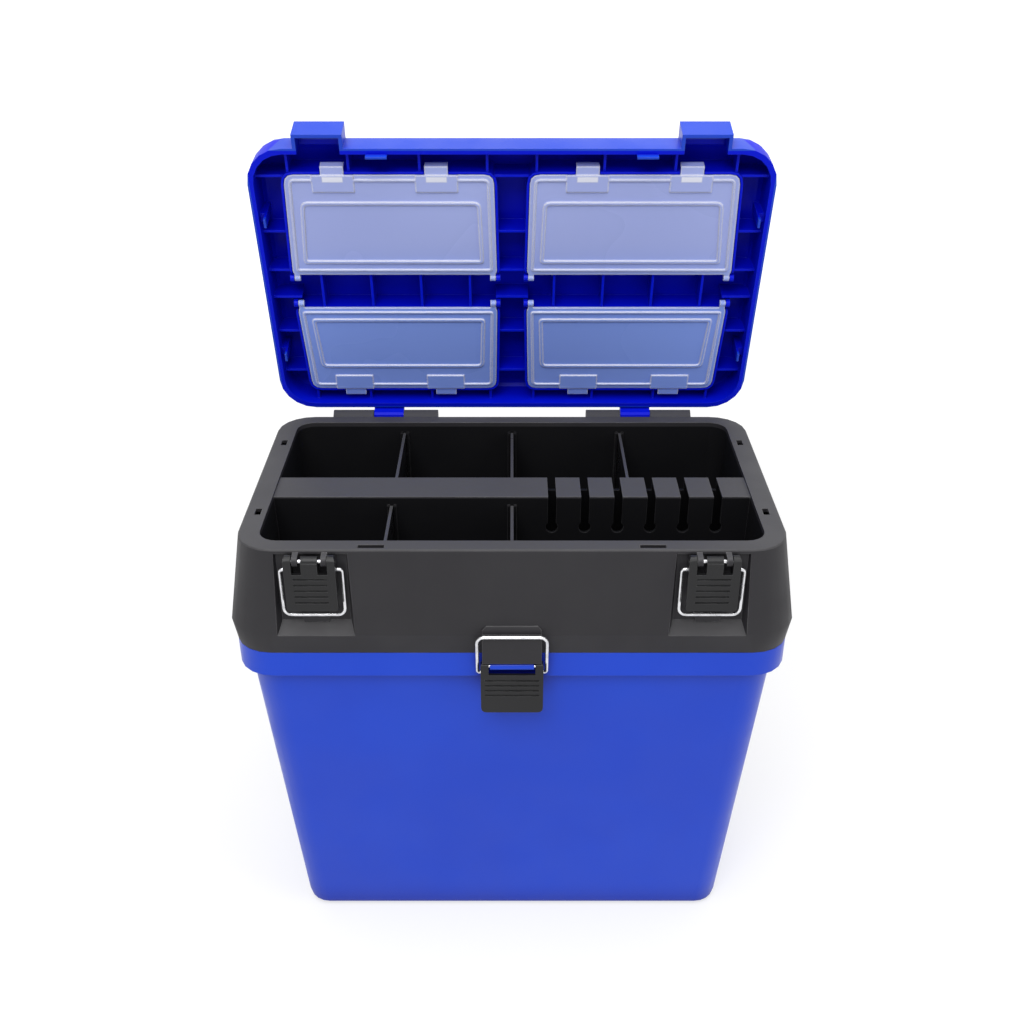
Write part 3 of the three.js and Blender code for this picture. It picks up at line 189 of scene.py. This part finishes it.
# Seat pad; its crown rises in rings, each an inset from the edge and a height over the sides
PAD_CORNER = 11.5 * MM
PAD_LEAST_CORNER = 2 * MM
PAD_EDGE = 0.9 * MM
PAD_EDGE_MIDDLE = 0.25 * MM
PAD_WAIST = 0.15 * MM
PAD_WAIST_BELOW_MIDDLE = 0.5 * MM
PAD_CROWN = 1.6 * MM
PAD_CROWN_RINGS = [
    (0.2 * MM, -0.35 * MM), (0.7 * MM, 0), (2.2 * MM, 0.2 * MM), (8 * MM, 0.45 * MM),
    (20 * MM, 0.85 * MM), (38 * MM, 1.25 * MM), (60 * MM, 1.5 * MM), (80 * MM, PAD_CROWN),
]
PAD_PULL = 1.0 * MM
PAD_DENT = 0.5 * MM
PAD_DENT_FALL = 2.2
PAD_SIDE_POINTS = 26
PAD_CORNER_POINTS = 7


def fill(tree, made, values):
    """Links a node's inputs to sockets, or sets them to plain values."""
    for key, value in values.items():
        if isinstance(value, bpy.types.NodeSocket):
            tree.links.new(value, made.inputs[key])
        else:
            made.inputs[key].default_value = value


def node(tree, kind, values, **settings):
    """Adds a node with its settings and inputs."""
    made = tree.nodes.new(kind)
    for name, value in settings.items():
        setattr(made, name, value)
    fill(tree, made, values)
    return made


def place(tree, stretch=(1, 1, 1)):
    """The object's own coordinates in metres, stretched along each axis."""
    coordinates = tree.nodes.new("ShaderNodeTexCoord").outputs["Object"]
    return node(tree, "ShaderNodeMapping", {"Vector": coordinates, "Scale": stretch}).outputs[0]


def closed_place(tree):
    """The lid's coordinates as it lies when it is closed, in metres."""
    back = lid_place().inverted()
    values = {
        "Vector": tree.nodes.new("ShaderNodeTexCoord").outputs["Object"],
        "Location": back.translation,
        "Rotation": back.to_euler(),
    }
    return node(tree, "ShaderNodeMapping", values).outputs[0]


def noise(tree, vector, per_metre, detail=2.0):
    values = {"Vector": vector, "Scale": per_metre, "Detail": detail}
    return node(tree, "ShaderNodeTexNoise", values).outputs[0]


def spread(tree, value, low, high, to_low=0.0, to_high=1.0):
    """Maps low..high of a value smoothly to another range."""
    values = {0: value, 1: low, 2: high, 3: to_low, 4: to_high}
    return node(tree, "ShaderNodeMapRange", values, interpolation_type="SMOOTHSTEP").outputs[0]


def mix(tree, factor, first, second):
    values = {0: factor, 6: first, 7: second}
    return node(tree, "ShaderNodeMix", values, data_type="RGBA").outputs[2]


def math_node(tree, operation, first, second=0.0):
    return node(tree, "ShaderNodeMath", {0: first, 1: second}, operation=operation).outputs[0]


def softened(tree, radius):
    """The normal with edges rounded off by radius, and where those edges are."""
    rounded = node(tree, "ShaderNodeBevel", {"Radius": radius}, samples=EDGE_SAMPLES).outputs[0]
    flat = tree.nodes.new("ShaderNodeNewGeometry").outputs["Normal"]
    values = {0: rounded, 1: flat}
    dot = node(tree, "ShaderNodeVectorMath", values, operation="DOT_PRODUCT").outputs["Value"]
    return rounded, spread(tree, dot, 0.995, 0.86)


def bump(tree, height, distance, strength, normal):
    values = {"Height": height, "Distance": distance, "Strength": strength, "Normal": normal}
    return node(tree, "ShaderNodeBump", values).outputs[0]


def new_material(name):
    material = bpy.data.materials.new(name)
    material.use_nodes = True
    tree = material.node_tree
    return material, tree, tree.nodes["Principled BSDF"]


def hollows(tree, reach):
    """1 on open faces, falling towards 0 in hollows about as deep as reach: where recesses get painted shade."""
    values = {"Distance": reach}
    shaded = node(tree, "ShaderNodeAmbientOcclusion", values, samples=HOLLOW_SAMPLES)
    return spread(tree, shaded.outputs["AO"], 0.15, 0.9)


def moulded(name, colour, deep, edge_wear_and_highlight, roughness, edge, grain=GRAIN_PER_METRE, bands=0.0,
            edge_wear_and_highlight_strength=0.5, painted_hollow_shade=None, top=None, painted_inside_shade=None):
    """Moulded plastic: slow tone changes, flow bands, fine grain, and paler edges from scuffing and a painted
    highlight.

    The recess colour is painted shade, and top is the painted light of upward faces. The inside
    setting holds boxes, their blend and place, and a body colour and an edge colour painted as an
    inside seen in deep shade; there the sheen drops too.
    """
    material, tree, shader = new_material(name)
    here = place(tree)
    tone = spread(tree, noise(tree, here, TONE_PER_METRE, 3), 0.35, 0.65)
    if bands:
        drawn = place(tree, (1, 1, FLOW_STRETCH))
        flow = spread(tree, noise(tree, drawn, FLOW_PER_METRE, 2), 0.3, 0.7)
        tone = mix(tree, bands, tone, flow)
    body = mix(tree, tone, deep, colour)
    sheen = SHEEN
    # Painted light: upward faces are mixed towards a lighter colour
    if top:
        facing = tree.nodes.new("ShaderNodeTexCoord").outputs["Normal"]
        split = node(tree, "ShaderNodeSeparateXYZ", {0: facing})
        body = mix(tree, spread(tree, split.outputs[2], 0.45, 0.95), body, top)
    # Painted shade: inside the boxes the body and edge colours turn darker and the sheen drops
    if painted_inside_shade:
        boxes, blend, where, inner_shade, shaded_edge_wear_and_highlight = painted_inside_shade
        inside = inside_boxes(tree, boxes, blend, where(tree))
        body = mix(tree, inside, body, inner_shade)
        edge_wear_and_highlight = mix(tree, inside, edge_wear_and_highlight, shaded_edge_wear_and_highlight)
        sheen = spread(tree, inside, 0, 1, SHEEN, SHEEN_IN_PAINTED_SHADE)
    # Painted shade: a darker colour mixed into recesses found by ambient occlusion
    if painted_hollow_shade:
        body = mix(tree, hollows(tree, HOLLOW_REACH), painted_hollow_shade, body)
    normal, edges = softened(tree, edge)
    # Paler edges: partly scuffing where the noise falls, partly a painted highlight along rounded edges
    scuffs = spread(tree, noise(tree, here, SCUFFS_PER_METRE, 5), 0.3, 0.75, 0.3, 1)
    rubbed_and_highlit = math_node(tree, "MULTIPLY", edges, scuffs)
    body = mix(tree, math_node(tree, "MULTIPLY", rubbed_and_highlit, edge_wear_and_highlight_strength), body, edge_wear_and_highlight)
    gloss = noise(tree, here, POLISH_PER_METRE, 5)
    polish = spread(tree, gloss, 0.3, 0.7, roughness - 0.05, roughness + 0.06)
    fine = noise(tree, here, grain, 3)
    fill(tree, shader, {
        "Base Color": body,
        "Roughness": polish,
        "IOR": 1.5,
        "Specular IOR Level": sheen,
        "Normal": bump(tree, fine, GRAIN_DEPTH, 0.35, normal),
    })
    return material


def inside_box(tree, low, high, blend, here):
    """1 inside a box, 0 outside it, with soft sides."""
    split = node(tree, "ShaderNodeSeparateXYZ", {0: here})
    inside = None
    for axis in range(3):
        above = spread(tree, split.outputs[axis], low[axis] - blend, low[axis] + blend)
        below = spread(tree, split.outputs[axis], high[axis] + blend, high[axis] - blend)
        both = math_node(tree, "MULTIPLY", above, below)
        inside = both if inside is None else math_node(tree, "MULTIPLY", inside, both)
    return inside


def inside_boxes(tree, boxes, blend, here):
    """1 inside any one of the boxes, each a low and a high corner."""
    inside = None
    for low, high in boxes:
        one = inside_box(tree, low, high, blend, here)
        inside = one if inside is None else math_node(tree, "MAXIMUM", inside, one)
    return inside


def clear_plastic():
    """Thin frosted polypropylene: a milky film, whiter and more opaque at its edges and clip pads: partly thicker
    film, partly a painted highlight.
    """
    material, tree, shader = new_material("clear_plastic")
    here = place(tree)
    normal, edges = softened(tree, FILM_EDGE)
    boxes = []
    for x in CLIP_PADS_X:
        for middle in (-x, x):
            low = (middle - CLIP_PAD_HALF_X, CLIP_PAD_LOW_Y, LID_FOOT_Z)
            high = (middle + CLIP_PAD_HALF_X, CLIP_PAD_HIGH_Y, LID_CEILING_Z)
            boxes.append((low, high))
    pad = inside_boxes(tree, boxes, CLIP_PAD_BLEND, closed_place(tree))
    # Edges and clip pads: partly thicker film, partly a painted highlight
    thick = math_node(tree, "MAXIMUM", edges, pad)
    cloud = noise(tree, here, FILM_MILK_PER_METRE, 0)
    milk = spread(tree, cloud, 0.25, 0.75, FILM_MILK_LEAST, FILM_MILK_MOST)
    # Painted shade: the film turns darker blue towards the rear doors
    depth = node(tree, "ShaderNodeSeparateXYZ", {0: closed_place(tree)}).outputs[1]
    film = mix(tree, spread(tree, depth, FILM_FRONT_Y, FILM_REAR_Y), CLEAR, CLEAR_PAINTED_SHADE_REAR)
    edge_and_pad_cover = math_node(tree, "MULTIPLY", thick, FILM_EDGE_AND_PAD_COVER)
    gloss = noise(tree, here, FILM_GLOSS_PER_METRE, 1)
    fine = noise(tree, here, FILM_GRAIN_PER_METRE, 3)
    fill(tree, shader, {
        "Base Color": mix(tree, thick, film, CLEAR_EDGE),
        "Roughness": spread(tree, gloss, 0.3, 0.7, 0.24, 0.30),
        "IOR": 1.49,
        "Alpha": math_node(tree, "MAXIMUM", milk, edge_and_pad_cover),
        "Normal": bump(tree, fine, FILM_GRAIN_DEPTH, 0.25, normal),
    })
    return material


def steel():
    """Bright drawn wire with faint dull patches."""
    material, tree, shader = new_material("steel")
    here = place(tree)
    patches = spread(tree, noise(tree, here, PATCHES_PER_METRE, 4), 0.4, 0.75)
    drawn = place(tree, (1, 1, SCRATCH_STRETCH))
    scratches = noise(tree, drawn, SCRATCHES_PER_METRE, 2)
    normal, _ = softened(tree, WIRE_EDGE)
    fill(tree, shader, {
        "Base Color": mix(tree, patches, STEEL, STEEL_DULL),
        "Metallic": 1.0,
        "Roughness": spread(tree, patches, 0, 1, 0.16, 0.30),
        "Normal": bump(tree, scratches, SCRATCH_DEPTH, 0.3, normal),
    })
    return material


def foam():
    """Closed-cell foam: matt, finely pitted, a little dusty."""
    material, tree, shader = new_material("foam")
    here = place(tree)
    dust = spread(tree, noise(tree, here, DUST_PER_METRE, 5), 0.35, 0.75)
    values = {"Vector": here, "Scale": CELLS_PER_METRE}
    cells = node(tree, "ShaderNodeTexVoronoi", values, feature="F1").outputs["Distance"]
    normal = tree.nodes.new("ShaderNodeNewGeometry").outputs["Normal"]
    fill(tree, shader, {
        "Base Color": mix(tree, dust, FOAM, FOAM_PALE),
        "Roughness": spread(tree, dust, 0, 1, 0.72, 0.86),
        "IOR": 1.4,
        "Normal": bump(tree, cells, CELL_DEPTH, 0.5, normal),
    })
    return material


def camera():
    data = bpy.data.cameras.new("camera")
    data.lens = LENS
    data.sensor_width = SENSOR
    data.shift_y = LENS_SHIFT_UP
    data.clip_start = 0.01
    data.clip_end = 100
    made = bpy.data.objects.new("camera", data)
    made.location = CAMERA_PLACE
    made.rotation_euler = (math.pi / 2 - CAMERA_TILT, 0, 0)
    bpy.context.scene.collection.objects.link(made)
    bpy.context.scene.camera = made


def softbox(name, location, size, power, target):
    data = bpy.data.lights.new(name, "AREA")
    data.shape = "RECTANGLE"
    data.size, data.size_y = size
    data.energy = power
    made = bpy.data.objects.new(name, data)
    made.location = location
    towards = Vector(target) - Vector(location)
    made.rotation_euler = towards.to_track_quat("-Z", "Y").to_euler()
    bpy.context.scene.collection.objects.link(made)


def seen_directly(tree):
    """1 for camera, glossy and transmission rays, 0 for the rays that light the object."""
    path = tree.nodes.new("ShaderNodeLightPath").outputs
    first = math_node(tree, "MAXIMUM", path["Is Camera Ray"], path["Is Glossy Ray"])
    return math_node(tree, "MAXIMUM", first, path["Is Transmission Ray"])


def studio():
    world = bpy.data.worlds.new("world")
    world.use_nodes = True
    bpy.context.scene.world = world
    tree = world.node_tree
    background = tree.nodes["Background"]
    strength = spread(tree, seen_directly(tree), 0, 1, WORLD_STRENGTH, 1)
    tree.links.new(strength, background.inputs["Strength"])
    background.inputs["Color"].default_value = WHITE

    mesh = bpy.data.meshes.new("floor")
    half = FLOOR_SIZE / 2
    corners = [(-half, -half, -FLOOR_LIFT), (half, -half, -FLOOR_LIFT),
               (half, half, -FLOOR_LIFT), (-half, half, -FLOOR_LIFT)]
    mesh.from_pydata(corners, [], [(0, 1, 2, 3)])
    floor = bpy.data.objects.new("floor", mesh)
    bpy.context.scene.collection.objects.link(floor)
    material, tree, _ = new_material("floor")
    tree.nodes.clear()
    lit = node(tree, "ShaderNodeBsdfDiffuse", {"Color": FLOOR_COLOUR}).outputs[0]
    away = node(tree, "ShaderNodeVectorMath", {0: place(tree)}, operation="LENGTH")
    seen = spread(tree, away.outputs["Value"], FLOOR_WHITE_FROM, FLOOR_WHITE_AT, FLOOR_SEEN, 1)
    glow = node(tree, "ShaderNodeEmission", {
        "Color": WHITE,
        "Strength": spread(tree, seen_directly(tree), 0, 1, FLOOR_GLOW, seen),
    }).outputs[0]
    both = node(tree, "ShaderNodeAddShader", {0: lit, 1: glow}).outputs[0]
    node(tree, "ShaderNodeOutputMaterial", {0: both})
    mesh.materials.append(material)

    for name, (location, size, power, target) in LAMPS.items():
        softbox(name, location, size, power, target)


def lid_place():
    """The turn from the closed lid's coordinates to where the lid stands."""
    joint = next(j for j in frame["joints"] if j["name"] == "lid_hinge")
    hinge = Matrix.Translation(Vector(joint["pos_m"]))
    turn = Matrix.Rotation(math.radians(-joint["range_deg"][0]), 4, Vector(joint["axis"]))
    return hinge @ turn @ hinge.inverted()


def pad_outline(half_x, half_y, corner):
    """Points round a rounded rectangle whose sides draw in a little between its corners."""
    points = []
    ends = [(1, 1), (-1, 1), (-1, -1), (1, -1)]
    for quarter, (side_x, side_y) in enumerate(ends):
        for step in range(PAD_CORNER_POINTS + 1):
            angle = (quarter + step / PAD_CORNER_POINTS) * math.pi / 2
            points.append((
                side_x * (half_x - corner) + corner * math.cos(angle),
                side_y * (half_y - corner) + corner * math.sin(angle),
            ))
        start = points[-1]
        next_x, next_y = ends[(quarter + 1) % 4]
        angle = (quarter + 1) * math.pi / 2
        stop = (
            next_x * (half_x - corner) + corner * math.cos(angle),
            next_y * (half_y - corner) + corner * math.sin(angle),
        )
        for step in range(1, PAD_SIDE_POINTS):
            share = step / PAD_SIDE_POINTS
            pull = PAD_PULL * math.sin(math.pi * share)
            points.append((
                start[0] + (stop[0] - start[0]) * share - pull * math.cos(angle),
                start[1] + (stop[1] - start[1]) * share - pull * math.sin(angle),
            ))
    return points


def seat_pad(material):
    """A foam slab with softened edges, a low crown and a shallow dent from use."""
    turn = lid_place()
    closed = [turn.inverted() @ v.co for v in frame["nodes"]["seat_pad"].data.vertices]
    low = Vector([min(p[i] for p in closed) for i in range(3)])
    high = Vector([max(p[i] for p in closed) for i in range(3)])
    half_x = (high.x - low.x) / 2
    half_y = (high.y - low.y) / 2
    middle = (low + high) / 2
    thick = high.z - low.z
    side = thick - PAD_CROWN
    profile = [
        (PAD_EDGE, 0),
        (PAD_EDGE_MIDDLE, PAD_EDGE_MIDDLE),
        (0, PAD_EDGE),
        (PAD_WAIST, thick / 2 - PAD_WAIST_BELOW_MIDDLE),
        (0, side - PAD_EDGE),
    ]
    profile += [(inset, side + rise) for inset, rise in PAD_CROWN_RINGS]
    made = bmesh.new()
    rings = []
    for inset, height in profile:
        corner = max(PAD_CORNER - inset, PAD_LEAST_CORNER)
        ring = []
        for x, y in pad_outline(half_x - inset, half_y - inset, corner):
            reach = math.exp(-((x / half_x) ** 2 + (y / half_y) ** 2) * PAD_DENT_FALL)
            dent = PAD_DENT * reach if height > side else 0
            ring.append(made.verts.new((middle.x + x, middle.y + y, low.z + height - dent)))
        rings.append(ring)
    for lower, upper in zip(rings, rings[1:]):
        for i in range(len(lower)):
            j = (i + 1) % len(lower)
            made.faces.new((lower[i], lower[j], upper[j], upper[i]))
    made.faces.new(list(reversed(rings[0])))
    made.faces.new(rings[-1])
    bmesh.ops.triangulate(made, faces=[f for f in made.faces if len(f.verts) > 4])
    mesh = bpy.data.meshes.new("seat_pad_foam")
    made.to_mesh(mesh)
    made.free()
    mesh.transform(turn)
    mesh.shade_smooth()
    mesh.materials.append(material)
    pad = bpy.data.objects.new("seat_pad_foam", mesh)
    bpy.context.scene.collection.objects.link(pad)
    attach(pad, "lid")
    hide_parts("seat_pad")


def smooth_by_angle():
    """Geometry nodes that join split corners and shade every edge under a limit smoothly."""
    group = bpy.data.node_groups.new("smooth_by_angle", "GeometryNodeTree")
    group.interface.new_socket("Geometry", in_out="INPUT", socket_type="NodeSocketGeometry")
    group.interface.new_socket("Geometry", in_out="OUTPUT", socket_type="NodeSocketGeometry")
    start = group.nodes.new("NodeGroupInput").outputs[0]
    values = {"Geometry": start, "Distance": WELD_DISTANCE}
    joined = node(group, "GeometryNodeMergeByDistance", values)
    angle = group.nodes.new("GeometryNodeInputMeshEdgeAngle").outputs["Unsigned Angle"]
    sharp = node(group, "FunctionNodeCompare", {0: angle, 1: SMOOTH_LIMIT}, operation="GREATER_THAN")
    faces = node(group, "GeometryNodeSetShadeSmooth", {
        "Geometry": joined.outputs[0], "Shade Smooth": True}, domain="FACE")
    edges = node(group, "GeometryNodeSetShadeSmooth", {
        "Geometry": faces.outputs[0], "Selection": sharp.outputs[0], "Shade Smooth": False,
    }, domain="EDGE")
    finish = group.nodes.new("NodeGroupOutput")
    group.links.new(edges.outputs[0], finish.inputs[0])
    return group


def dress(name, material, smoothing):
    """Gives a CAD node its material and its smooth shading."""
    piece = frame["nodes"][name]
    piece.data.materials.clear()
    piece.data.materials.append(material)
    piece.modifiers.new("smoothing", "NODES").node_group = smoothing
    weighted = piece.modifiers.new("weighted", "WEIGHTED_NORMAL")
    weighted.keep_sharp = True


bpy.context.scene.view_settings.view_transform = "Standard"
camera()
studio()

divider_low, divider_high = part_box("divider_back_left")
WELL_LOW = (-WELL_HALF_X, -WELL_HALF_Y, divider_low.z - WELL_BELOW_DIVIDERS)
WELL_HIGH = (WELL_HALF_X, WELL_HALF_Y, divider_high.z + WELL_OVER_DIVIDERS)

# Boxes where the lid's blue is painted in shade: its inside and its knuckles
LID_SHADE_BOXES = [
    ((-LID_HALF_X, -LID_HALF_Y, LID_FOOT_Z), (LID_HALF_X, LID_HALF_Y, LID_ROUND_Z)),
    ((-LID_TOP_HALF_X, -LID_TOP_HALF_Y, LID_ROUND_Z),
     (LID_TOP_HALF_X, LID_TOP_HALF_Y, LID_CEILING_Z)),
    LID_KNUCKLE_SHADE_BOX,
]
# Painted shade over the lid's inside
LID_PAINTED_SHADE = (LID_SHADE_BOXES, LID_BLEND, closed_place, BLUE_PAINTED_INSIDE_SHADE, BLUE_SHADED_EDGE_WEAR_AND_HIGHLIGHT)
# Painted shade: the tray's well painted black, its edges there taking the painted top light
WELL_PAINTED_SHADE = ([(WELL_LOW, WELL_HIGH)], WELL_BLEND, place, BLACK_PAINTED_WELL_SHADE, GREY_PAINTED_TOP_LIGHT)
# The blue shell, with painted shade in its recesses
blue = moulded("blue_plastic", BLUE, BLUE_DEEP, BLUE_EDGE_WEAR_AND_HIGHLIGHT, 0.36, SHELL_EDGE,
               painted_hollow_shade=BLUE_PAINTED_HOLLOW_SHADE)
# The lid's blue, with painted shade in its recesses and over its inside
lid_blue = moulded("lid_blue_plastic", BLUE, BLUE_DEEP, BLUE_EDGE_WEAR_AND_HIGHLIGHT, 0.36, SHELL_EDGE,
                   painted_hollow_shade=BLUE_PAINTED_INSIDE_HOLLOW_SHADE, painted_inside_shade=LID_PAINTED_SHADE)
# The tray's grey, with painted top light on upward faces and the painted shade of its well
grey = moulded("grey_plastic", GREY, GREY_DEEP, GREY_EDGE_WEAR_AND_HIGHLIGHT, 0.54, HOUSING_EDGE,
               grain=COARSE_GRAIN_PER_METRE, bands=0.55, edge_wear_and_highlight_strength=0.8, top=GREY_PAINTED_TOP_LIGHT, painted_inside_shade=WELL_PAINTED_SHADE)
# The dividers stand in the well: painted black as shade, with painted top light on upward faces
black = moulded("black_plastic", BLACK_PAINTED_WELL_SHADE, BLACK_PAINTED_WELL_SHADE_DEEP, GREY_EDGE_WEAR_AND_HIGHLIGHT, 0.30, SHARP_EDGE, edge_wear_and_highlight_strength=1.0,
                top=GREY_PAINTED_TOP_LIGHT)
latch = moulded("latch_plastic", LATCH, LATCH_DEEP, GREY_EDGE_WEAR_AND_HIGHLIGHT, 0.38, SHARP_EDGE,
                grain=FINE_GRAIN_PER_METRE)
clear = clear_plastic()
wire = steel()

MATERIAL_OF_SLOT = {
    "blue_plastic": blue,
    "black_plastic": grey,
    "latch_plastic": latch,
    "clear_plastic": clear,
    "steel": wire,
}

smoothing = smooth_by_angle()
for part in frame["record"]["subparts"]:
    if part["node"].startswith("divider_"):
        # Dividers take the black painted as the well's shade
        dress(part["node"], black, smoothing)
    elif part["node"] == "lid":
        dress(part["node"], lid_blue, smoothing)
    elif part["material_slot"] in MATERIAL_OF_SLOT:
        dress(part["node"], MATERIAL_OF_SLOT[part["material_slot"]], smoothing)

seat_pad(foam())
